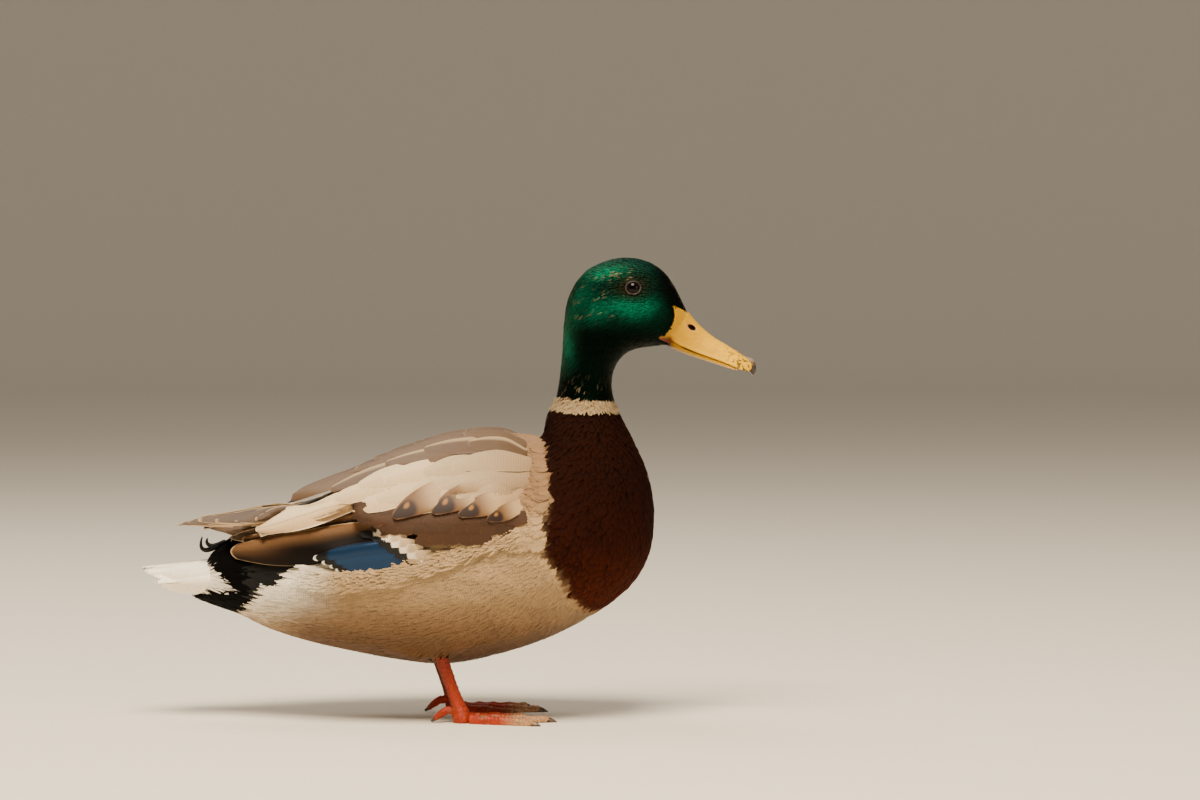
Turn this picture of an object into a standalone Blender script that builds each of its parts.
"""A life-size drake mallard that stands at rest on both feet, with its wings folded.

+X runs from tail to bill, +Y to the bird's left and +Z up. The floor is Z = 0 and the origin lies on it,
under the middle of the bird. Tables give millimetres, and the meshes are in metres.
"""

import math

import bmesh
import bpy
from mathutils import Matrix, Vector

MM = 0.001
GAP = 0.3  # free space between neighbouring pieces
RING_POINTS = 22  # corners of each cross-section of the body
RINGS_PER_STATION = 2
SIDES = (("r", -1), ("l", 1))  # right wing, leg and eye lie at -Y

# ---------------------------------------------------------------- materials

FINISHES = {  # colour as linear red, green and blue, then roughness and metallic
    "green_plumage": ((0.004, 0.060, 0.030), 0.35, 0.4),
    "white_plumage": ((0.80, 0.74, 0.64), 0.75, 0.0),
    "chestnut_plumage": ((0.055, 0.018, 0.011), 0.70, 0.0),
    "pale_plumage": ((0.52, 0.43, 0.34), 0.75, 0.0),
    "black_plumage": ((0.006, 0.006, 0.007), 0.55, 0.0),
    "scapular_plumage": ((0.42, 0.33, 0.25), 0.70, 0.0),
    "covert_plumage": ((0.20, 0.12, 0.07), 0.70, 0.0),
    "tertial_plumage": ((0.26, 0.17, 0.11), 0.65, 0.0),
    "primary_plumage": ((0.17, 0.11, 0.07), 0.60, 0.0),
    "speculum_plumage": ((0.012, 0.070, 0.150), 0.35, 0.4),
    "bill_horn": ((0.75, 0.50, 0.10), 0.40, 0.0),
    "nail_horn": ((0.05, 0.04, 0.03), 0.40, 0.0),
    "eye_cornea": ((0.010, 0.006, 0.004), 0.08, 0.0),
    "leg_skin": ((0.60, 0.12, 0.02), 0.50, 0.0),
    "claw_horn": ((0.05, 0.035, 0.025), 0.40, 0.0),
}


def finish(name):
    """The Principled material of that name, made on first use."""
    found = bpy.data.materials.get(name)
    if found:
        return found
    colour, roughness, metallic = FINISHES[name]
    made = bpy.data.materials.new(name)
    made.use_nodes = True
    shader = made.node_tree.nodes["Principled BSDF"]
    shader.inputs["Base Color"].default_value = (*colour, 1.0)
    shader.inputs["Roughness"].default_value = roughness
    shader.inputs["Metallic"].default_value = metallic
    return made


# ---------------------------------------------------------------- general shapes


def blend(rows, at):
    """A smooth value at row number `at` of a table of equal-length number rows (Catmull-Rom)."""
    last = len(rows) - 1
    low = min(int(at), last - 1)
    t = at - low
    before, a = rows[max(low - 1, 0)], rows[low]
    b, after = rows[low + 1], rows[min(low + 2, last)]
    return [
        0.5 * (2 * q + (r - p) * t + (2 * p - 5 * q + 4 * r - s) * t**2 + (3 * q - p - 3 * r + s) * t**3)
        for p, q, r, s in zip(before, a, b, after)
    ]


def at_x(rows, x):
    """A smooth value of a table whose first column falls steadily, at that x."""
    for low in range(len(rows) - 1):
        if x >= rows[low + 1][0] or low == len(rows) - 2:
            t = (rows[low][0] - x) / (rows[low][0] - rows[low + 1][0])
            return blend(rows, low + min(max(t, 0.0), 1.0))[1:]
    raise ValueError("a table needs two rows")


def new_object(name, bm, material):
    """Makes an object of the bmesh, in metres, with smooth shading."""
    bmesh.ops.recalc_face_normals(bm, faces=bm.faces)
    bmesh.ops.scale(bm, vec=(MM, MM, MM), verts=bm.verts)
    mesh = bpy.data.meshes.new(name)
    bm.to_mesh(mesh)
    bm.free()
    mesh.shade_smooth()
    mesh.set_sharp_from_angle(angle=math.radians(45))
    mesh.materials.append(finish(material))
    obj = bpy.data.objects.new(name, mesh)
    bpy.context.scene.collection.objects.link(obj)
    return obj


def loft(rings):
    """A closed bmesh through rings of equally many points, capped at both ends."""
    bm = bmesh.new()
    count = len(rings[0])
    corners = [[bm.verts.new(p) for p in ring] for ring in rings]
    for a, b in zip(corners, corners[1:]):
        for k in range(count):
            n = (k + 1) % count
            bm.faces.new((a[k], a[n], b[n], b[k]))
    bm.faces.new(corners[0])
    bm.faces.new(corners[-1])
    return bm


def trim(bm, point, normal):
    """Cuts off what lies on the normal's side of a plane and caps the cut."""
    everything = bm.verts[:] + bm.edges[:] + bm.faces[:]
    bmesh.ops.bisect_plane(bm, geom=everything, dist=1e-5, plane_co=point, plane_no=normal, clear_outer=True)
    rim = [edge for edge in bm.edges if edge.is_boundary]
    if rim:
        bmesh.ops.edgeloop_fill(bm, edges=rim)


def cut(target, cutter):
    """Takes the cutter's shape out of the target with a Boolean, and keeps the cutter out of the model."""
    cutter.hide_render = True
    cutter.display_type = "WIRE"
    modifier = target.modifiers.new("cut_" + cutter.name, "BOOLEAN")
    modifier.operation = "DIFFERENCE"
    modifier.object = cutter


# ---------------------------------------------------------------- head, neck and trunk

# Each station of the body is a slice between a point on the back outline and one on the under outline.
# Columns: back x, back z, under x, under z, half width, fullness (how much wider it is low than high).
STATIONS = {
    "tail_root": (-143, 97, -154, 72.5, 13, 0.00),
    "tail_coverts": (-137, 103, -139, 67, 22, 0.00),
    "rump": (-127, 111, -124, 62, 30, 0.02),
    "hip": (-111, 120, -107, 53.5, 39.5, 0.05),
    "loin": (-88, 128, -82, 45.5, 50, 0.07),
    "flank": (-60, 141, -55, 39.5, 60, 0.08),
    "belly": (-28, 155, -25, 34.0, 67, 0.08),
    "middle": (2, 165, 2, 32.0, 70, 0.08),
    "shoulder": (32, 169, 32, 38.0, 69, 0.06),
    "wing_front": (50, 168, 61, 47.5, 64.5, 0.05),
    "chest": (58, 167, 87, 61, 58, 0.03),
    "low_breast": (58.2, 171, 110, 78, 51.5, 0.00),
    "breast": (58.8, 175.5, 122, 98, 45.5, 0.00),
    "high_breast": (59.4, 179.4, 125, 122, 40, 0.00),
    "crop": (60, 182, 121.5, 145, 34, 0.00),
    "neck_base": (61, 184.5, 114.5, 162, 28, 0.00),
    "ring_low": (63.2, 187.4, 105.5, 180, 22, 0.00),
    "ring_high": (65.4, 191.8, 102.2, 187, 18.8, 0.00),
    "neck": (67, 200, 99.3, 197, 16.5, 0.00),
    "upper_neck": (68.4, 211, 100.2, 207.5, 16.5, 0.00),
    "nape": (69.4, 223, 104, 215, 18, 0.02),
    "jaw": (70.2, 237, 108.5, 219.3, 20, 0.06),
    "hind_crown": (72.8, 253, 115, 221.6, 21.5, 0.10),
    "occiput": (84, 269.5, 121, 222.4, 22, 0.12),
    "crown": (105, 277, 125, 222.7, 21.5, 0.14),
    "forehead": (122.4, 273.8, 127.8, 223.2, 18.8, 0.12),
    "brow": (133, 265.5, 129.6, 223.6, 15.5, 0.10),
    "lores": (140.4, 252.8, 130.6, 224.1, 12.4, 0.05),
    "bill_base": (144.3, 244.2, 131.5, 224.6, 10.4, 0.00),
}
STATION_ROWS = list(STATIONS.values())
STATION_NAMES = list(STATIONS)


def body_ring(at):
    """The cross-section of the body at a station number, from the back point round."""
    back_x, back_z, under_x, under_z, width, fullness = blend(STATION_ROWS, at)
    ring = []
    for k in range(RING_POINTS):
        angle = 2 * math.pi * k / RING_POINTS
        high = math.cos(angle)
        x = (back_x + under_x) / 2 + (back_x - under_x) / 2 * high
        z = (back_z + under_z) / 2 + (back_z - under_z) / 2 * high
        ring.append(Vector((x, width * (1 - fullness * high) * math.sin(angle), z)))
    return ring


def slice_plane(at):
    """A point of the cross-section's plane and the plane's normal, which points towards the bill."""
    back_x, back_z, under_x, under_z, _, _ = blend(STATION_ROWS, at)
    chord = Vector((back_x - under_x, 0, back_z - under_z))
    return Vector((back_x, 0, back_z)), Vector((chord.z, 0, -chord.x)).normalized()


def body_part(name, first, last, material):
    """The length of the body between two named stations, half a gap short of each."""
    start, end = STATION_NAMES.index(first), STATION_NAMES.index(last)
    steps = (end - start) * RINGS_PER_STATION
    bm = loft([body_ring(start + k / RINGS_PER_STATION) for k in range(steps + 1)])
    for at, way in ((start, -1), (end, 1)):
        point, normal = slice_plane(at)
        trim(bm, point - normal * way * GAP / 2, normal * way)
    return new_object(name, bm, material)


def make_body():
    """The flesh and feathers from tail root to bill base, in six lengths."""
    return {
        "rump": body_part("rump", "tail_root", "hip", "black_plumage"),
        "trunk": body_part("trunk", "hip", "chest", "pale_plumage"),
        "breast": body_part("breast", "chest", "ring_low", "chestnut_plumage"),
        "collar": body_part("collar", "ring_low", "ring_high", "white_plumage"),
        "neck": body_part("neck", "ring_high", "nape", "green_plumage"),
        "head": body_part("head", "nape", "bill_base", "green_plumage"),
    }


# ---------------------------------------------------------------- bill and eyes

# Columns: ridge x, ridge z, cutting edge x, cutting edge z, half width.
UPPER_BILL = (
    (145.1, 243.8, 134.4, 227.4, 9.8),
    (149.1, 238.8, 138.5, 224.6, 9.4),
    (155.1, 232.8, 144.5, 221.8, 9.3),
    (161.7, 227.7, 152.5, 218.7, 10.0),
    (168.9, 223.5, 161.7, 215.4, 11.0),
    (175.5, 219.3, 170.1, 212.1, 11.6),
    (180.9, 215.7, 177.0, 209.2, 10.6),
    (183.9, 212.9, 181.6, 207.5, 7.6),
    (185.4, 210.2, 184.2, 207.2, 3.6),
)
LOWER_BILL = (
    (134.4, 226.6, 133.6, 222.6, 8.6),
    (143.0, 221.6, 142.4, 218.8, 8.4),
    (152.0, 218.2, 151.4, 215.7, 8.9),
    (161.5, 214.9, 160.8, 212.7, 9.8),
    (170.0, 211.5, 169.0, 210.0, 10.0),
    (174.8, 209.5, 174.4, 208.4, 7.0),
)
BILL_ARC_POINTS = 8
BILL_RINGS_PER_ROW = 2
BILL_ROUNDNESS = 0.9  # power of the sine that rounds its section
NOSTRIL = Vector((146.8, 0, 234.8))
NOSTRIL_LENGTH, NOSTRIL_HEIGHT = 6.4, 2.4
NOSTRIL_REACH = 30  # the cutter goes right through the bill, as the nostrils do
BILL_SLOPE = math.radians(-40)  # of the ridge where the nostril lies
EYE = Vector((111.9, 0, 258.2))
EYE_RADIUS = 5.3
BALL_SEGMENTS = 16
EYE_DEPTH = 3.6  # how far its centre lies inside the cheek


def bill_ring(row, roof):
    """A half-round section: the round side faces the ridge if roof is true, or down if it is false."""
    top_x, top_z, low_x, low_z, width = row
    ring = []
    for k in range(BILL_ARC_POINTS + 1):
        angle = math.pi * k / BILL_ARC_POINTS
        bulge = math.sin(angle) ** BILL_ROUNDNESS
        high = bulge if roof else 1 - bulge
        x, z = low_x + (top_x - low_x) * high, low_z + (top_z - low_z) * high
        ring.append(Vector((x, width * math.cos(angle), z)))
    return ring


def bill_length(name, table, first, last, roof, material):
    """The stretch of a bill half between two rows of its table."""
    steps = (last - first) * BILL_RINGS_PER_ROW
    bm = loft([bill_ring(blend(table, first + k / BILL_RINGS_PER_ROW), roof) for k in range(steps + 1)])
    return new_object(name, bm, material)


def ellipsoid(name, centre, radii, turn, material):
    """An ellipsoid turned about Y."""
    bm = bmesh.new()
    place = Matrix.Translation(centre) @ Matrix.Rotation(turn, 4, "Y") @ Matrix.Diagonal((*radii, 1))
    around, along = BALL_SEGMENTS, BALL_SEGMENTS // 2
    bmesh.ops.create_uvsphere(bm, u_segments=around, v_segments=along, radius=1, matrix=place)
    return new_object(name, bm, material)


def make_bill():
    """Upper half with its open nostrils, the hooked nail at its tip, and the thin lower half."""
    nail_starts = len(UPPER_BILL) - 2
    upper = bill_length("bill_upper", UPPER_BILL, 0, nail_starts, True, "bill_horn")
    nail = bill_length("bill_nail", UPPER_BILL, nail_starts, len(UPPER_BILL) - 1, True, "nail_horn")
    nail.data.transform(Matrix.Translation((GAP * MM, 0, 0)))
    bill_length("bill_lower", LOWER_BILL, 0, len(LOWER_BILL) - 1, False, "bill_horn")
    radii = (NOSTRIL_LENGTH / 2, NOSTRIL_REACH, NOSTRIL_HEIGHT / 2)
    cut(upper, ellipsoid("nostril_cutter", NOSTRIL, radii, -BILL_SLOPE, "bill_horn"))


def make_eyes(head):
    """Eyeballs sunk in the sides of the head, each in a socket a gap wider."""
    for label, side in SIDES:
        start = Vector((EYE.x, side * 60, EYE.z)) * MM
        hit, place, _, _ = head.ray_cast(start, Vector((0, -side, 0)))
        if not hit:
            raise RuntimeError("the eye misses the head")
        centre = Vector((EYE.x, place.y / MM - side * EYE_DEPTH, EYE.z))
        ellipsoid("eye_" + label, centre, (EYE_RADIUS,) * 3, 0, "eye_cornea")
        socket = (EYE_RADIUS + GAP,) * 3
        cut(head, ellipsoid("socket_cutter_" + label, centre, socket, 0, "eye_cornea"))


# ---------------------------------------------------------------- folded wings

# The folded wings lie on one dome. Columns: x, height of its top, height where it is widest, half width.
WING_DOME = (
    (70, 165, 118, 56),
    (50, 172.2, 114, 66.5),
    (32, 174.3, 112.8, 71),
    (2, 170.9, 109.8, 73),
    (-28, 161.3, 109.8, 70.5),
    (-58, 147.8, 106.8, 63.5),
    (-88, 135.8, 102.5, 52.5),
    (-118, 127.2, 103.8, 39),
    (-142, 123.6, 110, 25),
    (-164, 118.6, 116, 10),
)
# Each panel: depth of its face under the dome, thickness, finish, then its upper and lower edge.
# An edge is a list of (x, angle down from the top of the dome in degrees), front to rear.
WING_PANELS = {
    "scapulars": (
        0.0, 3.0, "scapular_plumage",
        ((55, 14), (10, 7), (-40, 4), (-97, 5)),
        ((50, 62), (10, 59), (-30, 55), (-64, 50), (-94, 14)),
    ),
    "coverts": (
        0.6, 2.4, "covert_plumage",
        ((38, 65), (5, 62), (-28, 57.5), (-56, 54.5)),
        ((36, 84), (2, 94), (-19, 95), (-36, 84), (-54, 71)),
    ),
    "speculum": (
        1.2, 2.0, "speculum_plumage",
        ((-24, 97), (-36, 87), (-58, 89), (-74, 99)),
        ((-24, 101), (-34, 108), (-58, 113), (-73, 106)),
    ),
    "tertials_upper": (
        0.4, 2.0, "scapular_plumage",
        ((-60, 55), (-82, 44), (-103, 54), (-113, 68)),
        ((-60, 64.5), (-80, 64.5), (-100, 66.5), (-113, 70)),
    ),
    "tertials_lower": (
        0.8, 2.0, "tertial_plumage",
        ((-57, 72), (-80, 66.5), (-104, 69.5), (-121, 78), (-127, 92), (-131, 109)),
        ((-57, 82), (-78, 96), (-92, 104), (-110, 115), (-123, 117), (-131, 112)),
    ),
    "primaries": (
        1.0, 2.0, "primary_plumage",
        ((-100, 8), (-122, 12), (-146, 22), (-164, 55)),
        ((-96, 32), (-113, 58), (-132, 72), (-148, 73), (-164, 75)),
    ),
}
PANEL_RINGS, PANEL_COLUMNS = 7, 4
BED_REACH = 9  # how far a bed's cutter reaches out past the panel's face
BED_SPREAD = 0.6  # degrees by which a bed is wider than its panel, on each edge


def on_dome(x, degrees, side, depth):
    """A point that far under the folded-wing dome."""
    top, widest, width = at_x(WING_DOME, x)
    angle = math.radians(degrees)
    y = side * (width - depth) * math.sin(angle)
    return Vector((x, y, widest + (top - depth - widest) * math.cos(angle)))


def panel(name, side, upper, lower, depth, thickness, material, spread=0.0):
    """A curved plate between two edges on the dome. Spread widens its outline, in degrees, for a cutter."""
    rings = []
    for k in range(PANEL_RINGS + 1):
        share = k / PANEL_RINGS
        high_x, high_angle = blend(upper, share * (len(upper) - 1))
        low_x, low_angle = blend(lower, share * (len(lower) - 1))
        slip = spread * (1 - 2 * share)  # pushes the ends outwards too, a millimetre for each degree
        outer, inner = [], []
        for c in range(PANEL_COLUMNS):
            across = c / (PANEL_COLUMNS - 1)
            x = high_x + (low_x - high_x) * across + slip
            angle = (high_angle - spread) + (low_angle - high_angle + 2 * spread) * across
            outer.append(on_dome(x, angle, side, depth))
            inner.append(on_dome(x, angle, side, depth + thickness))
        rings.append(outer + inner[::-1])
    return new_object(name, loft(rings), material)


def make_wings(body):
    """Both folded wings. The body is hollowed a gap under every panel."""
    for label, side in SIDES:
        for part, (depth, thickness, material, upper, lower) in WING_PANELS.items():
            panel(f"wing_{label}_{part}", side, upper, lower, depth, thickness, material)
            bed, deep = f"bed_cutter_{label}_{part}", thickness + BED_REACH + GAP
            cutter = panel(bed, side, upper, lower, depth - BED_REACH, deep, material, BED_SPREAD)
            for name in ("trunk", "rump"):
                cut(body[name], cutter)


# ---------------------------------------------------------------- tail

TAIL_ROOT = Vector((-118, 0, 94))
TAIL_LENGTH = 67.5  # from that root to the tip of the middle feathers
TAIL_DROOP = math.radians(5.0)  # of the middle feathers, towards the rear
TAIL_FAN = math.radians(19)  # of the outermost feather from the middle
TAIL_ARCH = 12.5  # how much lower the outermost feathers lie
TAIL_THICKNESS = 2.2
TAIL_HALF_ROOT = 7.0  # half width of the fan at its root
TAIL_RINGS, TAIL_COLUMNS = 6, 3
TAIL_MARGIN = 0.02  # left free at each side of a group, as a share of half the fan
TAIL_SECTORS = {
    "r2": (-1.0, -0.6),
    "r1": (-0.6, -0.2),
    "mid": (-0.2, 0.2),
    "l1": (0.2, 0.6),
    "l2": (0.6, 1.0),
}


def on_tail(across, along, height):
    """A point of the arched fan: across runs from -1 to 1, along from 0 to 1."""
    reach = TAIL_LENGTH * along * (1 - 0.20 * across**2)
    turn = TAIL_FAN * across
    x = TAIL_ROOT.x - reach * math.cos(turn)
    y = TAIL_HALF_ROOT * across + reach * math.sin(turn)
    drop = TAIL_ARCH * across**2 * (0.55 + 0.45 * along) + reach * math.sin(TAIL_DROOP)
    return Vector((x, y, TAIL_ROOT.z - drop + height))


def tail_sector(name, low, high, columns, grow=0.0):
    """One group of tail feathers with a rounded end. Grow thickens it, for a cutter with a square end."""
    rings = []
    margin = 0 if grow else TAIL_MARGIN
    for k in range(TAIL_RINGS + 1):
        along = k / TAIL_RINGS
        top, bottom = [], []
        for c in range(columns + 1):
            share = c / columns
            across = low + margin + (high - low - 2 * margin) * share
            rounding = 1 if grow else 1 - 0.10 * (2 * share - 1) ** 2
            top.append(on_tail(across, along * rounding, TAIL_THICKNESS / 2 + grow))
            bottom.append(on_tail(across, along * rounding, -TAIL_THICKNESS / 2 - grow))
        rings.append(top + bottom[::-1])
    return new_object(name, loft(rings), "white_plumage")


# The black curl over the tail root. Columns: x, z, half width.
CURL = (
    (-129, 113.6, 3.4),
    (-135, 110.0, 3.2),
    (-141, 106.6, 2.6),
    (-145.4, 106.8, 1.8),
    (-146.6, 109.6, 0.9),
)
CURL_RINGS = 8
CURL_THICKNESS = 1.4


def make_tail(rump):
    """The white fan in five groups, slotted into the rump, and the black curl above it."""
    for label, (low, high) in TAIL_SECTORS.items():
        tail_sector("tail_" + label, low, high, TAIL_COLUMNS)
    slot = tail_sector("tail_slot_cutter", -1.03, 1.03, TAIL_COLUMNS * len(TAIL_SECTORS), 2 * GAP)
    slot.data.transform(Matrix.Translation((GAP * MM, 0, 0)))
    cut(rump, slot)
    rings = []
    half = CURL_THICKNESS / 2
    for k in range(CURL_RINGS + 1):
        x, z, width = blend(CURL, k / CURL_RINGS * (len(CURL) - 1))
        rings.append([Vector(p) for p in ((x, width, z), (x, 0, z + half), (x, -width, z), (x, 0, z - half))])
    new_object("tail_curl", loft(rings), "black_plumage")


# ---------------------------------------------------------------- legs and feet

LEG_Y = 34.0  # of the foot's pad, from the middle of the bird
LEG_STEP = {"r": 0.0, "l": -6.0}  # the left foot stands that much further back
# Feathered thigh, sunk in the belly. Columns: x, y, z, radius.
THIGH = (
    (-36, 25, 60, 10),
    (-25, 28.5, 52, 13),
    (-14.5, 31.6, 47.5, 11.5),
    (-8.5, 33.4, 45.5, 8.4),
    (-5.4, 34, 43.6, 5.4),
)
LEG_HOLE = ((-5.0, 34, 45.0, 6.0), (-2.6, 34, 36.0, 6.2))  # where the shank comes out of the belly
THIGH_RINGS, THIGH_POINTS = 7, 11
# Shank and foot pad, in level slices. Columns: z, x, half length, half width.
SHANK = (
    (39.8, -3.0, 4.3, 3.6),
    (36, -1.6, 4.1, 3.2),
    (28, 1.4, 3.7, 2.8),
    (18, 4.9, 3.7, 2.8),
    (11, 7.6, 4.2, 3.4),
    (6, 9.4, 5.2, 5.0),
    (2.5, 10.4, 6.0, 6.2),
    (0, 10.6, 5.6, 5.8),
)
SHANK_RINGS, SHANK_POINTS = 10, 10
PAD_X = SHANK[-1][1]
# Each toe: heading from straight ahead, in degrees outwards, how far outwards on the pad it is rooted,
# its start and its end, measured from there, and the length of its claw.
TOES = {
    "inner": (-27, -3.7, 5.0, 38, 6.0),
    "middle": (-2, 0.0, 7.0, 49, 6.8),
    "outer": (22, 4.0, 5.0, 44, 6.0),
}
TOE_JOINTS = {"inner": 2, "middle": 3, "outer": 4}
TOE_HALF_WIDTH, TOE_HEIGHT = (2.6, 2.0), (5.4, 3.4)  # at the root and at the claw
WEB_SHORT = 2.0  # how far the web stays behind the claws
WEB_BOTTOM, WEB_THICKNESS = 0.25, 0.9
WEB_BACK = 0.1  # where the web starts, as a share of the toes
WEB_HOLLOW = 0.16  # how far the web's front edge curves back, as a share of its length
ARC_POINTS = 6  # sides of a toe's round top
CLAW_RINGS = 3
CLAW_ROOT, CLAW_TIP = 0.92, 0.12  # size beside the toe's end
WEB_RINGS, WEB_COLUMNS = 5, 5


def sole_ring(centre, heading, half_width, height):
    """A section with a round top and a flat bottom, across a heading in the floor plane."""
    across = Vector((-math.sin(heading), math.cos(heading), 0))
    ring = []
    for k in range(ARC_POINTS + 1):
        angle = math.pi * k / ARC_POINTS
        ring.append(centre + across * half_width * math.cos(angle) + Vector((0, 0, height * math.sin(angle))))
    return ring


def toe_size(toe, along):
    """Half width and height of a toe at a share of its length, with a swelling at each joint."""
    swell = 1 + 0.09 * math.cos(2 * math.pi * along * TOE_JOINTS[toe])
    width, height = (a + (b - a) * along for a, b in (TOE_HALF_WIDTH, TOE_HEIGHT))
    return width * swell, height * swell


def toe_frame(toe, side, step):
    """Where a toe is rooted, its heading as an angle from +X, and the directions along and across it."""
    heading = math.radians(side * TOES[toe][0])
    root = Vector((PAD_X + step, side * (LEG_Y + TOES[toe][1]), 0))
    return root, heading, Vector((math.cos(heading), math.sin(heading), 0))


def make_toe(toe, label, side, step):
    """One front toe with its claw. Both lie flat on the floor."""
    _, _, start, end, claw = TOES[toe]
    root, heading, ahead = toe_frame(toe, side, step)
    count = 3 * TOE_JOINTS[toe]
    rings = []
    for k in range(count + 1):
        along = k / count
        width, height = toe_size(toe, along)
        rings.append(sole_ring(root + ahead * (start + (end - start) * along), heading, width, height))
    new_object(f"toe_{label}_{toe}", loft(rings), "leg_skin")
    width, height = toe_size(toe, 1)
    rings = []
    for k in range(CLAW_RINGS + 1):
        along = k / CLAW_RINGS
        thin = CLAW_TIP + (CLAW_ROOT - CLAW_TIP) * (1 - along**2)
        centre = root + ahead * (end + GAP + claw * along)
        rings.append(sole_ring(centre, heading, width * thin, height * thin))
    new_object(f"claw_{label}_{toe}", loft(rings), "claw_horn")


def web_edge(toe, other, along, side, step):
    """A point of the web's edge beside one toe, on the side of the other toe."""
    _, _, start, end, _ = TOES[toe]
    root, heading, ahead = toe_frame(toe, side, step)
    towards = math.copysign(1, TOES[other][0] - TOES[toe][0]) * side
    across = Vector((-math.sin(heading), math.cos(heading), 0)) * towards
    width, _ = toe_size(toe, along)
    return root + ahead * (start + (end - WEB_SHORT - start) * along) + across * (width + 2 * GAP)


def make_web(first, second, label, side, step):
    """The skin between two toes, with its front edge curved in."""
    rings = []
    pad = Vector((PAD_X + step, side * LEG_Y, 0))
    for k in range(WEB_RINGS + 1):
        along = WEB_BACK + (1 - WEB_BACK) * k / WEB_RINGS
        one, two = web_edge(first, second, along, side, step), web_edge(second, first, along, side, step)
        top, bottom = [], []
        for c in range(WEB_COLUMNS):
            share = c / (WEB_COLUMNS - 1)
            point = one.lerp(two, share).lerp(pad, WEB_HOLLOW * along**4 * 4 * share * (1 - share))
            top.append(point + Vector((0, 0, WEB_BOTTOM + WEB_THICKNESS)))
            bottom.append(point + Vector((0, 0, WEB_BOTTOM)))
        rings.append(top + bottom[::-1])
    new_object(f"web_{label}_{second}", loft(rings), "leg_skin")


# The hind toe grows from the back of the shank, and its claw just reaches the floor.
# Columns: x and z of its middle, radius.
HIND_TOE = ((2.6, 8.6, 1.6), (0.4, 7.0, 2.3), (-2.0, 5.2, 2.2), (-4.2, 3.7, 1.7))
HIND_RINGS, HIND_POINTS = 4, 6
HIND_CLAW = ((-4.6, 3.2, 1.5), (-6.4, 1.9, 1.15), (-8.0, 0.65, 0.8))


def round_loft(rows, count, points=10):
    """A closed tube of round sections across its own path. Rows give x, y, z and radius."""
    centres = [blend(rows, k / count * (len(rows) - 1)) for k in range(count + 1)]
    rings = []
    for k, (x, y, z, radius) in enumerate(centres):
        before, after = centres[max(k - 1, 0)], centres[min(k + 1, count)]
        along = (Vector(after[:3]) - Vector(before[:3])).normalized()
        right = along.cross(Vector((0, 0, 1))).normalized()
        up = right.cross(along)
        angles = [2 * math.pi * n / points for n in range(points)]
        rings.append([Vector((x, y, z)) + (right * math.cos(a) + up * math.sin(a)) * radius for a in angles])
    return loft(rings)


def grown(rows, by):
    """The rows of a round loft, wider and longer by that much all round."""
    wider = [[x, y, z, radius + by] for x, y, z, radius in rows]
    for end, neighbour in ((0, 1), (-1, -2)):
        outwards = (Vector(rows[end][:3]) - Vector(rows[neighbour][:3])).normalized() * by
        wider[end][:3] = Vector(rows[end][:3]) + outwards
    return wider


def make_leg(label, side, trunk):
    """Thigh, shank with its pad, webbed toes and the small hind toe."""
    step = LEG_STEP[label]
    thigh = [(x + step, side * y, z, radius) for x, y, z, radius in THIGH]
    new_object("thigh_" + label, round_loft(thigh, THIGH_RINGS, THIGH_POINTS), "pale_plumage")
    wider = grown(thigh, 2 * GAP)
    hole = [(x + step, side * y, z, radius) for x, y, z, radius in LEG_HOLE]
    for name, rows, count in (("thigh_bed_cutter_", wider, THIGH_RINGS), ("leg_hole_cutter_", hole, 1)):
        cut(trunk, new_object(name + label, round_loft(rows, count, THIGH_POINTS), "pale_plumage"))

    rings = []
    for k in range(SHANK_RINGS + 1):
        z, x, half_length, half_width = blend(SHANK, k / SHANK_RINGS * (len(SHANK) - 1))
        ring = []
        for n in range(SHANK_POINTS):
            angle = 2 * math.pi * n / SHANK_POINTS
            y = side * LEG_Y + half_width * math.sin(angle)
            ring.append(Vector((x + step + half_length * math.cos(angle), y, z)))
        rings.append(ring)
    new_object("shank_" + label, loft(rings), "leg_skin")
    for toe in TOES:
        make_toe(toe, label, side, step)
    make_web("middle", "inner", label, side, step)
    make_web("middle", "outer", label, side, step)
    for name, rows, material in (("toe", HIND_TOE, "leg_skin"), ("claw", HIND_CLAW, "claw_horn")):
        placed = [(x + step - GAP, side * (LEG_Y - 1), z, radius) for x, z, radius in rows]
        bm = round_loft(placed, HIND_RINGS, HIND_POINTS)
        trim(bm, Vector((0, 0, 0)), Vector((0, 0, -1)))
        new_object(f"{name}_{label}_hind", bm, material)


# ---------------------------------------------------------------- start

for old in list(bpy.data.objects):
    bpy.data.objects.remove(old)

BODY = make_body()
make_bill()
make_eyes(BODY["head"])
make_wings(BODY)
make_tail(BODY["rump"])
for LABEL, SIDE in SIDES:
    make_leg(LABEL, SIDE, BODY["trunk"])
